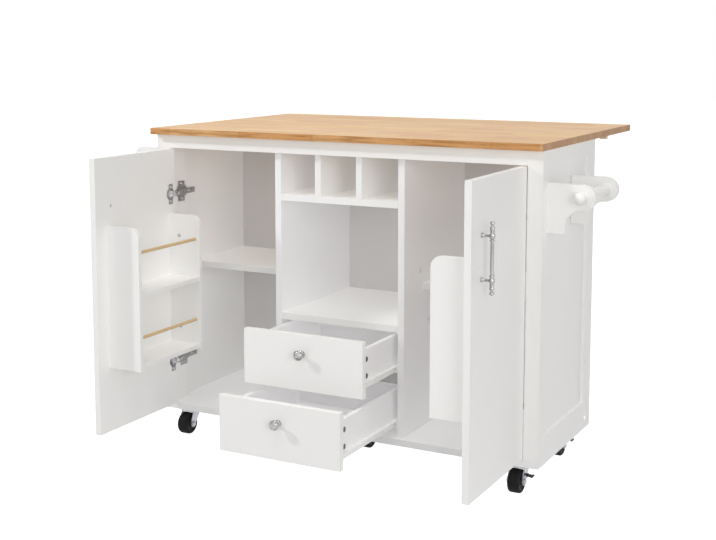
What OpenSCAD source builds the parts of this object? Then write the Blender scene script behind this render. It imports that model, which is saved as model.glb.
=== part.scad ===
// Drop leaf kitchen island: an inset-door cabinet on four casters, with two drawers under an open
// niche, a rack on each door, a towel rail on the right and a spice rack on the left. The leaf is
// hinged along the back of the worktop and rests on two brackets that swing out of the back.
// X runs along the front, Y to the back and Z up. Lengths are measured from the worktop's front
// edge and the middle of the cabinet, and place() moves all to the middle of the whole footprint.

/* [Worktop] */
// Height of the worktop above the floor
overall_h = 908; // [850:1:950]
// Length of the worktop along the front
top_w = 1183; // [1175:1:1300]
// Depth of the fixed worktop
top_d = 502; // [496:1:540]
// Depth of the drop leaf
leaf_d = 275; // [255:1:320]
// Thickness of the worktop and the leaf
top_t = 18; // [16:0.5:30]
// Gap between the worktop and the leaf
leaf_gap = 1; // [0.6:0.1:2]

/* [Cabinet] */
// Width of the cabinet over its sides
cab_w = 1170; // [1120:1:1175]
// Distance of the cabinet's back in front of the worktop's rear edge
rear_overhang = 52; // [48:1:78]
// Distance of the stile faces behind the worktop's front edge
front_overhang = 24; // [10:1:40]
// Height of the cabinet's underside above the floor
cab_z = 80; // [78:0.5:100]
// Thickness of the cabinet's boards
board = 18; // [15:0.5:20]
// Thickness of the two dividers
divider_t = 19; // [15:0.5:22]
// Thickness of the back panel
back_t = 5; // [3:0.5:9]
// Clear width between the two dividers
middle_w = 360; // [340:1:380]
// Width of the front stiles
stile_w = 40; // [36:1:50]
// Depth of the filler behind each stile that carries the door hinges
filler_d = 60; // [50:1:80]
// Height of the apron and the rear rail
apron_h = 39; // [30:1:55]
// Gap between the back of a closed door and the dividers
door_stop_gap = 1; // [0.5:0.1:3]

/* [Framed sides] */
// Width of the side frame behind the filler's front
side_front_w = 22; // [15:1:60]
// Width of the side frame at the back
side_rear_w = 58; // [40:1:80]
// Height of the side frame's top rail
side_top_w = 36; // [25:1:70]
// Height of the side frame's bottom rail
side_bottom_w = 60; // [40:1:90]
// Thickness of the side panel
side_panel_t = 10; // [6:0.5:14]

/* [Shelves] */
// Height of the top of the bay shelves
bay_shelf_z = 500; // [440:1:540]
// Room between the closed door rack and the bay shelf
bay_shelf_room = 14; // [5:1:30]
// Height of the top of the niche floor
niche_z = 402; // [390:1:430]
// Height of the top of the bottle shelf
bottle_z = 736; // [690:1:760]
// Thickness of the two small bottle dividers
bottle_divider_t = 18; // [12:0.5:20]

/* [Doors] */
// Thickness of the doors and drawer fronts
door_t = 18; // [16:0.5:20]
// Width of each door
door_w = 352; // [346:1:356]
// Gap between a door and its stile
door_side_gap = 2; // [1.5:0.1:4]
// Gap above a door
door_top_gap = 2; // [1:0.1:5]
// Gap below a door
door_bottom_gap = 3; // [1:0.1:6]
// Angle that the doors stand open
door_open = 90; // [0:1:100]
// Distance of the hinge cups from the middle of the door
cup_spacing = 245; // [220:1:300]
// Radius of the hinge cup
cup_r = 17.5; // [15:0.5:20]
// Depth of the hinge cup
cup_depth = 11.5; // [9:0.5:13]

/* [Door racks] */
// Depth of the rack from the door's inner face
rack_d = 103; // [70:1:108]
// Distance of the rack's underside below the middle of the door
rack_below_mid = 198; // [185:1:210]
// Height of the rack's end boards
rack_h = 388; // [340:1:400]
// Thickness of the rack's boards
rack_t = 12; // [9:0.5:15]
// Distance of the rack from the hinge edge of the door
rack_inset = 18; // [15:1:22]
// Width of the rack over its ends
rack_w = 288; // [240:1:291]
// Radius of the rounded corner of the end boards
rack_corner_r = 28; // [10:1:40]
// Height of the middle shelf's top above the rack's underside
rack_mid_z = 212; // [180:1:230]
// Height of the bottom shelf's top above the rack's underside
rack_low_z = 18; // [14:1:30]
// Height of the lower dowel above the rack's underside
rack_low_dowel = 88; // [60:1:120]
// Height of the upper dowel above the rack's underside
rack_high_dowel = 320; // [270:1:330]
// Distance of the dowels behind the outer edge of the end boards
dowel_in = 15; // [8:1:30]
// Diameter of the rack dowels
dowel_dia = 9; // [6:0.5:14]

/* [Handles] */
// Distance of the handle from the hinge edge of the door
handle_u = 291; // [280:1:320]
// Height of the middle of the handle above the middle of the door
handle_above_mid = 192; // [150:1:215]
// Length of the handle bar
handle_len = 172; // [150:1:200]
// Distance between the handle's posts
handle_posts = 103; // [90:1:120]
// Distance of the bar from the door
handle_out = 26; // [20:1:40]
// Radius of the bar's thin middle
handle_r = 4.5; // [3:0.25:5]
// Length of the knobs
knob_out = 27; // [20:1:35]
// Radius of the knobs
knob_r = 15; // [12:0.5:20]
// Distance of the knobs below the top of their drawer front
knob_drop = 50; // [30:1:70]

/* [Drawers] */
// Width of the drawer fronts
front_w = 356; // [344:1:358]
// Gap between the two drawer fronts
front_gap = 3; // [2:0.5:6]
// Distance of the upper front's top below the niche floor's top
front_top_gap = 2; // [1:0.5:6]
// Height of the drawer boxes' sides
drawer_side_h = 100; // [70:1:103]
// Height of the box above the lower edge of its front
drawer_lift = 22; // [12:1:24]
// Thickness of the drawer sides and back
drawer_wall = 12; // [10:0.5:14]
// Room behind the closed drawer boxes
drawer_back_room = 38; // [28:1:48]
// Thickness of the drawer bottoms
drawer_floor_t = 4; // [3:0.5:6]
// Room for the runners between a box and a divider
runner_gap = 12.5; // [12.5:0.1:14]
// How far the upper drawer stands out
upper_out = 179; // [0:1:290]
// How far the lower drawer stands out
lower_out = 299; // [0:1:299]

/* [Runners] */
// Thickness of the runners' sheet metal
sheet = 1.2; // [0.8:0.1:1.5]
// Height of the fixed runner
runner_h = 22; // [21:0.5:26]
// Room behind the fixed runners
runner_back_room = 20; // [17:1:32]
// Radius of the runners' rollers
roller_r = 7.5; // [6:0.25:7.5]

/* [Towel rack] */
// Reach of the towel arms
arm_reach = 123; // [115:1:150]
// Height of the towel arms at the cabinet
arm_h = 126; // [110:1:140]
// Height of the top of the towel arms
arm_z = 807; // [760:1:840]
// Thickness of the towel arms
arm_t = 18; // [15:0.5:22]
// Distance of the front arm behind the worktop's front edge
arm_front_y = 55; // [45:1:80]
// Distance between the two arms' front faces
arm_pitch = 193; // [150:1:300]
// Radius of the arms' round ends
arm_end_r = 32; // [26:0.5:34]
// Radius of the hollow curve under the arms
arm_hollow_r = 45; // [35:1:58]
// Radius of the towel rail
rail_r = 15; // [10:0.5:18]

/* [Spice rack] */
// Reach of the spice rack
spice_reach = 106; // [80:1:130]
// Height of the spice rack's top
spice_top = 846; // [790:1:860]
// Height of the spice rack's end boards
spice_h = 460; // [420:1:500]
// Width of the spice rack over its ends
spice_w = 364; // [250:1:380]
// Distance of the spice rack behind the worktop's front edge
spice_front_y = 55; // [45:1:64]

/* [Leaf hinges and brackets] */
// Length of a butt hinge
hinge_len = 60; // [50:1:75]
// Radius of a hinge barrel
barrel_r = 5; // [4:0.25:5]
// Radius of a hinge pin
pin_r = 2; // [1.5:0.25:2.5]
// Width of a hinge plate from the pin
hinge_wing = 38; // [30:1:42]
// Thickness of a hinge plate
hinge_t = 2; // [1.5:0.25:2.5]
// Radial clearance of the pins, axles and kingpins
fit = 0.05; // [0.02:0.01:0.1]
// Reach of a swing-out bracket
bracket_reach = 228; // [210:1:240]
// Thickness of a swing-out bracket
bracket_t = 18; // [15:0.5:20]
// Height of the bracket's straight outer edge
bracket_tip_h = 68; // [40:1:100]
// Radius of the bracket's convex curve
bracket_round_r = 64; // [40:1:70]
// Radius of the bracket's concave curve
bracket_hollow_r = 110; // [80:1:130]
// Thickness of the pads between the leaf and the brackets
pad_t = 10; // [8:0.5:12]
// Distance of the pads behind the leaf's hinge line
pad_back = 64; // [45:1:120]
// Distance of the middle of the pads from the ends of the leaf
pad_side_in = 17.5; // [15:0.5:20]
// Side of the square pads
pad_side = 18; // [14:1:22]
// Distance of the leaf's hinges from the ends of the worktop
hinge_inset = 140; // [100:1:250]

/* [Casters] */
// Radius of the wheels
wheel_r = 31; // [28:0.25:31.5]
// Width of the wheels
wheel_w = 32; // [26:0.5:34]
// Distance of a wheel behind its swivel axis
trail = 20; // [15:0.5:25]
// Distance of the swivel axes from the cabinet's sides
caster_side_in = 68; // [60:1:90]
// Distance of the swivel axes from the cabinet's front and back
caster_end_in = 50; // [45:1:80]
// Side of the square caster plate
plate_w = 60; // [50:1:70]
// Radius of the kingpins
kingpin_r = 5; // [4:0.25:6]
// Radius of the wheel axles
axle_r = 4; // [3:0.25:5]

/* [Hidden] */
$fn = 48;
run = 0.3;            // clearance between pieces that pass each other
seat = 0.2;           // clearance at the ends of a fitted shelf
half_w = cab_w / 2;
cab_d = top_d - front_overhang - rear_overhang;
face_y = front_overhang;
back_y = face_y + cab_d;
under_top = overall_h - top_t;
floor_z = cab_z + board;
inner_x = half_w - board;
opening_x = half_w - stile_w;
stile_back_y = face_y + door_t;
divider_x = middle_w / 2;
divider_y = stile_back_y + door_stop_gap;
back_in_y = back_y - back_t;
drawer_len = back_in_y - stile_back_y - drawer_back_room;
runner_len = back_in_y - divider_y - runner_back_room;
apron_z = under_top - apron_h;

// Doors: u runs from the hinge edge along the door, v from the outer face inwards.
hinge_off = 0.5;
hinge_x = opening_x - door_side_gap + hinge_off;
hinge_y = face_y - hinge_off;
door_z0 = floor_z + door_bottom_gap;
door_z1 = apron_z - door_top_gap;
door_mid_z = (door_z0 + door_z1) / 2;
rack_z = door_mid_z - rack_below_mid;
handle_z = door_mid_z + handle_above_mid;
inner_v = hinge_off + door_t;
cup_u = hinge_off + 5 + cup_r;
neck_r0 = inner_v + 6.5;
neck_r1 = neck_r0 + 3;
neck_z = 4.5;
cheek_z0 = neck_z + run;
cheek_z1 = cheek_z0 + 2;
mount_y = 55;

// Drawers: the fronts fill the height from the cabinet floor to the niche floor's top.
front_z0 = floor_z + door_bottom_gap;
front_z1 = niche_z - front_top_gap;
front_h = (front_z1 - front_z0 - front_gap) / 2;
upper_z = front_z0 + front_h + front_gap;
box_x = divider_x - runner_gap;
fixed_web_t = sheet + run;
roller_up = runner_h / 2 - 1.3;
front_roller_y = divider_y + 14;

// Leaf hinge line and bracket hinge line.
leaf_axis_y = top_d + leaf_gap / 2;
leaf_axis_z = under_top - barrel_r;
bracket_axis_y = back_y + barrel_r;
bracket_axis_x = half_w - 2 - bracket_t - barrel_r;
bracket_top = under_top - pad_t - run;
bracket_h = bracket_tip_h + bracket_round_r + bracket_hollow_r + 10;
leaf_hinge_x = top_w / 2 - hinge_inset;

// Shelves stand behind the closed door racks.
bay_shelf_y = hinge_y + inner_v + rack_d + bay_shelf_room;

// Casters.
caster_x = half_w - caster_side_in;
caster_front_y = face_y + caster_end_in;
caster_rear_y = back_y - caster_end_in;
plate_t = 3;
race_z = cab_z - plate_t - 7;
bridge_t = 5;
bridge_z = race_z - run - bridge_t;
leg_in = wheel_w / 2 + 3;
leg_t = 2.5;

// The footprint with the doors open and the leaf up.
reach_y0 = hinge_y - (hinge_off + door_w) * sin(door_open);
reach_y1 = top_d + leaf_gap + leaf_d;
mid_x = (arm_reach - spice_reach) / 2;
mid_y = (reach_y0 + reach_y1) / 2;

paint = [0.90, 0.90, 0.89];
oak = [0.86, 0.73, 0.59];
pale_wood = [0.80, 0.67, 0.48];
nickel = [0.66, 0.66, 0.67];
white_steel = [0.93, 0.93, 0.92];
black_rubber = [0.10, 0.10, 0.11];
grey_steel = [0.55, 0.56, 0.58];

// ---- Helpers ----

// Moves a piece from the cabinet's own lengths to the middle of the footprint.
module place() translate([-mid_x, -mid_y, 0]) children();

// A board between two corners.
module board3(a, b) translate(a) cube(b - a);

// A piece on the right and its mirror image on the left.
module both_sides() {
    children();
    mirror([1, 0, 0]) children();
}

// side is 1 on the right and -1 on the left.
module on_side(side) {
    if (side > 0) children();
    else mirror([1, 0, 0]) children();
}

// A rod between two heights along Z.
module rod(r, z0, z1) translate([0, 0, z0]) cylinder(r = r, h = z1 - z0);

// A rod along X.
module rod_x(r, x0, x1) translate([x0, 0, 0]) rotate([0, 90, 0]) cylinder(r = r, h = x1 - x0);

// A rod along Y.
module rod_y(r, y0, y1) translate([0, y1, 0]) rotate([90, 0, 0]) cylinder(r = r, h = y1 - y0);

// An outline in the YZ plane, given as (y, z), made into a board from x0 to x1.
module yz_board(x0, x1) translate([x0, 0, 0]) rotate([90, 0, 90]) linear_extrude(x1 - x0) children();

// An outline in the XZ plane, given as (x, z), made into a board from y0 to y1.
module xz_board(y0, y1) translate([0, y1, 0]) rotate([90, 0, 0]) linear_extrude(y1 - y0) children();

// ---- Worktop and cabinet ----

module worktop() place() color(oak)
    board3([-top_w / 2, 0, under_top], [top_w / 2, top_d, overall_h]);

module side_opening(x0, x1)
    board3([x0, stile_back_y + side_front_w, floor_z + side_bottom_w],
        [x1, back_y - side_rear_w, under_top - side_top_w]);

module side_frames() place() color(paint) both_sides() difference() {
    board3([inner_x, stile_back_y, floor_z], [half_w, back_y, under_top]);
    side_opening(inner_x - 1, half_w + 1);
}

module side_panels() place() color(paint) both_sides()
    side_opening(inner_x, inner_x + side_panel_t);

module bottom_panel() place() color(paint)
    board3([-half_w, face_y, cab_z], [half_w, back_y, floor_z]);

module back_panel() place() color(paint)
    board3([-inner_x, back_in_y, floor_z], [inner_x, back_y, under_top]);

// The dividers are notched at the top of the back for the rear rail.
module dividers() place() color(paint) both_sides() difference() {
    board3([divider_x, divider_y, floor_z], [divider_x + divider_t, back_in_y, under_top]);
    board3([divider_x - 1, back_in_y - board, apron_z],
        [divider_x + divider_t + 1, back_in_y + 1, under_top + 1]);
}

module apron() place() color(paint)
    board3([-opening_x, face_y, apron_z], [opening_x, stile_back_y, under_top]);

module rear_rail() place() color(paint)
    board3([-inner_x, back_in_y - board, apron_z], [inner_x, back_in_y, under_top]);

// Each post is a stile on the front and a filler behind it, inside the framed side. The filler is
// notched for the hinges' cheeks.
module front_posts() place() color(paint) both_sides() difference() {
    union() {
        board3([opening_x, face_y, floor_z], [half_w, stile_back_y, under_top]);
        board3([opening_x, face_y, floor_z], [inner_x, stile_back_y + filler_d, under_top]);
    }
    for (dz = [-cup_spacing, cup_spacing])
        board3([opening_x - 1, stile_back_y, door_mid_z + dz - cheek_z1 - 1],
            [opening_x + 14, hinge_y + neck_r1 + 1, door_mid_z + dz + cheek_z1 + 1]);
}

module bottle_shelf() place() color(paint)
    board3([-divider_x, divider_y, bottle_z - board], [divider_x, back_in_y, bottle_z]);

// Two small dividers part the space over the bottle shelf into three equal cells.
module bottle_dividers() place() color(paint) both_sides() {
    cell = (middle_w - 2 * bottle_divider_t) / 3;
    board3([cell / 2, divider_y, bottle_z],
        [cell / 2 + bottle_divider_t, back_in_y - board, under_top]);
}

module niche_floor() place() color(paint)
    board3([-divider_x, divider_y, niche_z - board], [divider_x, back_in_y, niche_z]);

module bay_shelves() place() color(paint) both_sides()
    board3([divider_x + divider_t, bay_shelf_y, bay_shelf_z - board],
        [inner_x, back_in_y, bay_shelf_z]);

// Pins under the bay shelves, and round caps over the joint fittings beside them.
module shelf_pins_and_caps() place() color(nickel) both_sides() {
    pin_r = 2.5;
    pin_len = 8;
    cap_r = 6;
    cap_t = 1;
    shelf_end_in = 40;
    front_cap_back = 117;
    front_cap_up = 38;
    outer_x = divider_x + divider_t;
    for (y = [bay_shelf_y + shelf_end_in, back_in_y - shelf_end_in]) {
        translate([0, y, bay_shelf_z - board - pin_r]) {
            rod_x(pin_r, outer_x, outer_x + pin_len);
            rod_x(pin_r, inner_x - pin_len, inner_x);
        }
        translate([0, y, niche_z - board / 2]) rod_x(cap_r, outer_x, outer_x + cap_t);
    }
    translate([0, face_y + front_cap_back, bay_shelf_z + front_cap_up])
        rod_x(cap_r + 1.5, outer_x, outer_x + cap_t);
    translate([0, back_in_y - shelf_end_in, floor_z + board / 2 + 3])
        rod_x(cap_r, half_w, half_w + cap_t);
}

// ---- Concealed door hinges ----

// Hinge coordinates have x along the closed door and y into the cabinet. The left door is drawn
// as it is, and the right one is its mirror image.
module at_left_hinge() translate([-hinge_x, hinge_y, 0]) children();
module at_left_door() at_left_hinge() rotate([0, 0, -door_open]) children();
module door_side(side) {
    if (side < 0) children();
    else mirror([1, 0, 0]) children();
}

// A slice of a ring round the door's hinge line, from angle a0 to a1 and height z0 to z1.
module ring_slice(r0, r1, a0, a1, z0, z1) translate([0, 0, z0])
    rotate([0, 0, a0]) rotate_extrude(angle = a1 - a0) translate([r0, 0]) square([r1 - r0, z1 - z0]);

// A cross-shaped plate on the filler, an arm over it, and a neck that curves round the hinge
// line into the cup.
module hinge_mount() {
    wall_u = opening_x - hinge_x;
    skin = 2;
    arm_u = 13;
    arm_z = 8;
    arm_y0 = -24;
    arm_y1 = 51;
    foot_z = 30;
    screw_z = 22;
    screw_h = 1.5;
    hollow_u = arm_u - skin;
    hollow_z = arm_z - skin;
    translate([-wall_u, mount_y, 0]) {
        board3([0, -16, -foot_z], [skin, 16, foot_z]);
        board3([0, -20, -foot_z / 2], [skin, 24, foot_z / 2]);
        difference() {
            board3([skin, arm_y0, -arm_z], [arm_u, arm_y1, arm_z]);
            board3([skin - 1, arm_y0 - 1, -hollow_z], [hollow_u, arm_y1 + 1, hollow_z]);
        }
        board3([skin, -8, -hollow_z], [hollow_u, 8, hollow_z]);
        translate([arm_u, screw_z, 0]) rod_x(4, 0, screw_h);
        for (z = [-screw_z, screw_z]) translate([skin, 0, z]) rod_x(4.5, 0, screw_h);
    }
    board3([0.5, neck_r0 + 1, -neck_z], [hollow_u, mount_y + arm_y0 + 1, neck_z]);
    ring_slice(neck_r0, neck_r1, 22, 90, -neck_z, neck_z);
}

module hinge_mounts() place() color(nickel)
    for (side = [-1, 1], dz = [-cup_spacing, cup_spacing])
        door_side(side) translate([0, 0, door_mid_z + dz]) at_left_hinge() hinge_mount();

// The cup sits in the door, with a wing above and below for its screws. Two cheeks beside the
// neck bend out of the cup.
module hinge_cup() {
    rim = 1;
    cheek_u = cup_u - 1.8;
    cheek_v = inner_v - 2.9;
    chord = sqrt(pow(cup_r - rim / 2, 2) - pow(cup_u - cheek_u, 2));
    difference() {
        union() {
            translate([cup_u, inner_v, 0]) rod_y(cup_r, -cup_depth, 0);
            for (z = [-29, 12])
                board3([cup_u - 9, inner_v, z], [cup_u + 9, inner_v + 1.5, z + 17]);
        }
        translate([cup_u, inner_v, 0]) rod_y(cup_r - rim, -cup_depth + rim, 2);
    }
    for (m = [0, 1]) mirror([0, 0, m]) {
        ring_slice(neck_r0, neck_r1, 36, 118, cheek_z0, cheek_z1);
        translate([cheek_u, cheek_v, 0]) rod(1.4, cheek_z0, chord);
    }
}

module hinge_cups(side) place() color(nickel) door_side(side) at_left_door()
    for (dz = [-cup_spacing, cup_spacing]) translate([0, 0, door_mid_z + dz]) hinge_cup();

// ---- Doors ----

module door(side) place() color(paint) door_side(side) at_left_door() difference() {
    board3([hinge_off, hinge_off, door_z0], [hinge_off + door_w, inner_v, door_z1]);
    for (dz = [-cup_spacing, cup_spacing]) translate([cup_u, inner_v, door_mid_z + dz])
        rod_y(cup_r, -cup_depth, 1);
}

// The outline of a rack's end board: its outer top corner is rounded.
module rack_end_outline(depth, height) {
    r = rack_corner_r;
    square([depth - r, height]);
    square([depth, height - r]);
    translate([depth - r, height - r]) circle(r);
}

// A rack with end boards from u0 to u1. It stands out along +Y from y = 0.
module rack(u0, u1, depth, z0, height, tops) {
    for (u = [u0, u1 - rack_t])
        translate([0, 0, z0]) yz_board(u, u + rack_t) rack_end_outline(depth, height);
    for (z = tops)
        board3([u0 + rack_t + seat, 0, z0 + z - rack_t],
            [u1 - rack_t - seat, depth - 2, z0 + z]);
}

// The dowels run from end board to end board over the edges of the shelves.
module rack_dowels(u0, u1, depth, z0, heights)
    for (z = heights) translate([0, depth - dowel_in, z0 + z])
        rod_x(dowel_dia / 2, u0 + rack_t, u1 - rack_t);

door_rack_tops = [rack_low_z, rack_mid_z];
door_rack_dowels = [rack_low_dowel, rack_high_dowel];
spice_pitch = (spice_h - rack_low_z) / 3;
spice_rack_tops = [for (i = [0 : 2]) rack_low_z + i * spice_pitch];
spice_rack_rails = [for (top = spice_rack_tops) top + rack_low_dowel - rack_low_z];

module door_rack(side) place() color(paint) door_side(side) at_left_door()
    translate([hinge_off, inner_v, 0])
        rack(rack_inset, rack_inset + rack_w, rack_d, rack_z, rack_h, door_rack_tops);

module rack_rails(side) place() color(pale_wood) door_side(side) at_left_door()
    translate([hinge_off, inner_v, 0])
        rack_dowels(rack_inset, rack_inset + rack_w, rack_d, rack_z, door_rack_dowels);

// The turned handle: a thin bar with a bead at each post and a finial at each end.
module handle_bar() {
    bead = handle_r + 2;
    post = handle_posts / 2;
    tip = handle_len / 2;
    rod(handle_r, -tip + 4, tip - 4);
    for (s = [-1, 1]) {
        translate([0, 0, s * post]) sphere(bead + 0.5);
        translate([0, 0, s * (post - 10)]) rod(bead - 0.5, -1.5, 1.5);
        translate([0, 0, s * (post + 11)]) sphere(bead);
        translate([0, 0, s * (post + 20)]) rod(bead - 0.5, -1.5, 1.5);
        translate([0, 0, s * (tip - bead)]) sphere(bead);
    }
}

// The post and its rosette, from the bar at y = 0 to the door at y = handle_out.
module handle_post() {
    rod_y(4, 0, handle_out);
    rod_y(8, handle_out - 6, handle_out);
    rod_y(11, handle_out - 3, handle_out);
}

module handle(side) place() color(nickel) door_side(side) at_left_door()
    translate([hinge_off + handle_u, hinge_off - handle_out, handle_z]) {
        handle_bar();
        for (s = [-1, 1]) translate([0, 0, s * handle_posts / 2]) handle_post();
    }

// ---- Drawers ----

module at_drawer(out) translate([0, -out, 0]) children();

module drawer_front(z0, out) place() color(paint) at_drawer(out)
    board3([-front_w / 2, face_y, z0], [front_w / 2, stile_back_y, z0 + front_h]);

// The sides and the back stand round a bottom that slides into their grooves.
module drawer_box(z0, out) {
    zb = z0 + drawer_lift;
    end_y = stile_back_y + drawer_len;
    place() color(paint) at_drawer(out) difference() {
        union() {
            both_sides()
                board3([box_x - drawer_wall, stile_back_y, zb], [box_x, end_y, zb + drawer_side_h]);
            board3([-box_x, end_y - drawer_wall, zb], [box_x, end_y, zb + drawer_side_h]);
        }
        drawer_bottom_shape(z0, 0);
    }
}

module drawer_bottom_shape(z0, slack) {
    zb = z0 + drawer_lift + 8;
    groove = 6;
    x = box_x - drawer_wall + groove - slack;
    board3([-x, stile_back_y, zb],
        [x, stile_back_y + drawer_len - drawer_wall + groove - slack, zb + drawer_floor_t]);
}

module drawer_bottom(z0, out) place() color(paint) at_drawer(out) drawer_bottom_shape(z0, 0);

// The fixed runner is a channel on the divider, open to the box, with a roller at its front.
module fixed_runner(z0) {
    zb = z0 + drawer_lift;
    web_x = divider_x - fixed_web_t;
    lip_x = box_x + sheet + run + 0.5;
    y1 = divider_y + runner_len;
    board3([web_x, divider_y, zb], [divider_x, y1, zb + runner_h]);
    board3([lip_x, divider_y, zb], [web_x, y1, zb + sheet]);
    board3([lip_x + 3, divider_y, zb + runner_h - sheet], [web_x, y1, zb + runner_h]);
    translate([0, front_roller_y, zb + roller_up]) rod_x(roller_r, lip_x + 1, web_x);
}

module fixed_runners() place() color(white_steel) both_sides()
    for (z0 = [front_z0, upper_z]) fixed_runner(z0);

// The moving runner wraps the lower edge of the box's side and carries a roller at its back.
module slide(z0) {
    zb = z0 + drawer_lift;
    web_x = divider_x - fixed_web_t;
    ride_z = zb + roller_up + roller_r + run;
    y0 = stile_back_y + run;
    back_roller_y = stile_back_y + drawer_len - roller_r - 16;
    y1 = back_roller_y + roller_r;
    board3([box_x, y0, zb - sheet], [box_x + sheet, y1, ride_z + sheet]);
    board3([box_x - drawer_wall, y0, zb - sheet], [box_x + sheet, y1, zb]);
    board3([box_x, y0, ride_z], [web_x - run, y1, ride_z + sheet]);
    translate([0, back_roller_y, zb + sheet + run + roller_r])
        rod_x(roller_r, box_x + sheet, web_x - run);
}

module slides(z0, out) place() color(white_steel) at_drawer(out) both_sides() slide(z0);

// A turned knob: a foot, a slim neck and a domed head.
module knob(z0, out) place() color(nickel) at_drawer(out)
    translate([0, face_y, z0 + front_h - knob_drop]) rotate([90, 0, 0]) rotate_extrude() {
        head_h = 9;
        dome_r = (pow(knob_r, 2) + 25) / 10;
        square([9, 2.5]);
        square([5.5, knob_out - head_h]);
        translate([0, knob_out - head_h]) square([knob_r, head_h - 5]);
        intersection() {
            translate([0, knob_out - dome_r]) circle(dome_r);
            translate([0, knob_out - 5]) square([knob_r, 5]);
        }
    }

// ---- Butt hinges ----

// The pin lies along Z. This half's plate lies along +X at y from barrel_r - hinge_t to barrel_r.
// The half with the pin has three of the five knuckles.
module hinge_half(with_pin) {
    step = hinge_len / 5;
    difference() {
        union() {
            for (i = with_pin ? [0, 2, 4] : [1, 3]) {
                z0 = i * step - hinge_len / 2 + (i > 0 ? run / 2 : 0);
                z1 = (i + 1) * step - hinge_len / 2 - (i < 4 ? run / 2 : 0);
                rod(barrel_r, z0, z1);
                board3([0, barrel_r - hinge_t, z0], [barrel_r + 1, barrel_r, z1]);
            }
            board3([barrel_r + 0.5, barrel_r - hinge_t, -hinge_len / 2],
                [hinge_wing, barrel_r, hinge_len / 2]);
        }
        if (!with_pin) rod(pin_r + fit, -hinge_len, hinge_len);
    }
    if (with_pin) rod(pin_r, -hinge_len / 2, hinge_len / 2);
}

// ---- Leaf ----

// Puts the hinge's pin along X on the leaf's hinge line, with the plates under the top.
module at_leaf_axis() translate([0, leaf_axis_y, leaf_axis_z]) children();

module leaf_hinges(with_pin)
    for (x = [-leaf_hinge_x, 0, leaf_hinge_x]) translate([x, 0, 0]) at_leaf_axis()
        mirror([0, with_pin ? 1 : 0, 0]) rotate([90, 0, 90]) hinge_half(with_pin);

module leaf_hinge_plates() place() color(nickel) leaf_hinges(true);
module leaf_hinge_flaps() place() color(nickel) leaf_hinges(false);

module drop_leaf() place() color(oak)
    board3([-top_w / 2, top_d + leaf_gap, under_top], [top_w / 2, reach_y1, overall_h]);

// Wooden pads that the brackets swing in under.
module leaf_pads() place() color(pale_wood) both_sides() {
    x = top_w / 2 - pad_side_in;
    y = leaf_axis_y + pad_back;
    board3([x - pad_side / 2, y - pad_side / 2, under_top - pad_t],
        [x + pad_side / 2, y + pad_side / 2, under_top]);
}

// ---- Swing-out brackets, folded flat on the back ----

// The outline from the hinge edge at x = 0, with its straight top edge at y = 0.
module bracket_outline() {
    tip = bracket_reach;
    neck = tip - bracket_round_r;
    turn = -bracket_tip_h - bracket_round_r;
    foot = neck - bracket_hollow_r;
    translate([2, -bracket_tip_h]) square([tip - 2, bracket_tip_h]);
    translate([2, turn]) square([neck - 2, bracket_round_r]);
    translate([neck, -bracket_tip_h]) circle(bracket_round_r);
    difference() {
        translate([2, turn - bracket_hollow_r]) square([neck - 2, bracket_hollow_r + 1]);
        translate([neck, turn - bracket_hollow_r]) circle(bracket_hollow_r);
    }
    translate([2, -bracket_h]) square([foot - 2, 11]);
}

// The bracket's own hinge line is its Z axis. Folded, it lies along the back towards the middle.
module at_bracket(side) on_side(side) translate([bracket_axis_x, bracket_axis_y, 0])
    mirror([1, 0, 0]) children();

module bracket(side) place() color(paint) at_bracket(side)
    translate([0, 0, bracket_top]) xz_board(barrel_r, barrel_r + bracket_t) bracket_outline();

bracket_hinge_z = [bracket_top - 20 - hinge_len / 2, bracket_top - bracket_h + 20 + hinge_len / 2];

module bracket_hinge(side) place() color(nickel) at_bracket(side)
    for (z = bracket_hinge_z) translate([0, 0, z]) hinge_half(false);

module bracket_hinge_plates() place() color(nickel)
    for (side = [-1, 1], z = bracket_hinge_z)
        at_bracket(side) translate([0, 0, z]) mirror([0, 1, 0]) hinge_half(true);

// ---- Towel rack ----

// The arm's outline from the cabinet's side: a round end over a hollow curve and a narrow foot.
module arm_outline() {
    tip = [arm_reach - arm_end_r, arm_h - arm_end_r];
    low = tip[1] - arm_end_r;
    translate(tip) circle(arm_end_r);
    difference() {
        square([tip[0], arm_h]);
        translate([tip[0], low - arm_hollow_r]) circle(arm_hollow_r);
        translate([tip[0] - arm_hollow_r, -1]) square([arm_hollow_r + 1, low - arm_hollow_r + 1]);
    }
}

rail_x = half_w + arm_reach - arm_end_r;
rail_z = arm_z - arm_end_r;

module towel_arms() place() color(paint) difference() {
    for (y = [arm_front_y, arm_front_y + arm_pitch])
        translate([half_w, 0, arm_z - arm_h]) xz_board(y, y + arm_t) arm_outline();
    translate([rail_x, 0, rail_z]) rod_y(rail_r, arm_front_y - 1, arm_front_y + arm_pitch + arm_t + 1);
}

module towel_rail() place() color(paint) translate([rail_x, 0, rail_z]) {
    y0 = arm_front_y;
    y1 = arm_front_y + arm_pitch + arm_t;
    rod_y(rail_r, y0, y1);
    for (end = [[y0, -1], [y1, 1]]) {
        rod_y(rail_r - 4, min(end[0], end[0] + end[1] * 5), max(end[0], end[0] + end[1] * 5));
        translate([0, end[0] + end[1] * (rail_r + 3), 0]) sphere(rail_r + 1);
    }
}

// ---- Spice rack ----

// Rack coordinates run back along the left side, with the rack standing out to the left.
module at_spice_rack() translate([-half_w, spice_front_y, 0]) rotate([0, 0, 90]) children();

module spice_rack() place() color(paint) at_spice_rack()
    rack(0, spice_w, spice_reach, spice_top - spice_h, spice_h, spice_rack_tops);

module spice_rack_dowels() place() color(pale_wood) at_spice_rack()
    rack_dowels(0, spice_w, spice_reach, spice_top - spice_h, spice_rack_rails);

// ---- Casters ----

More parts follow.
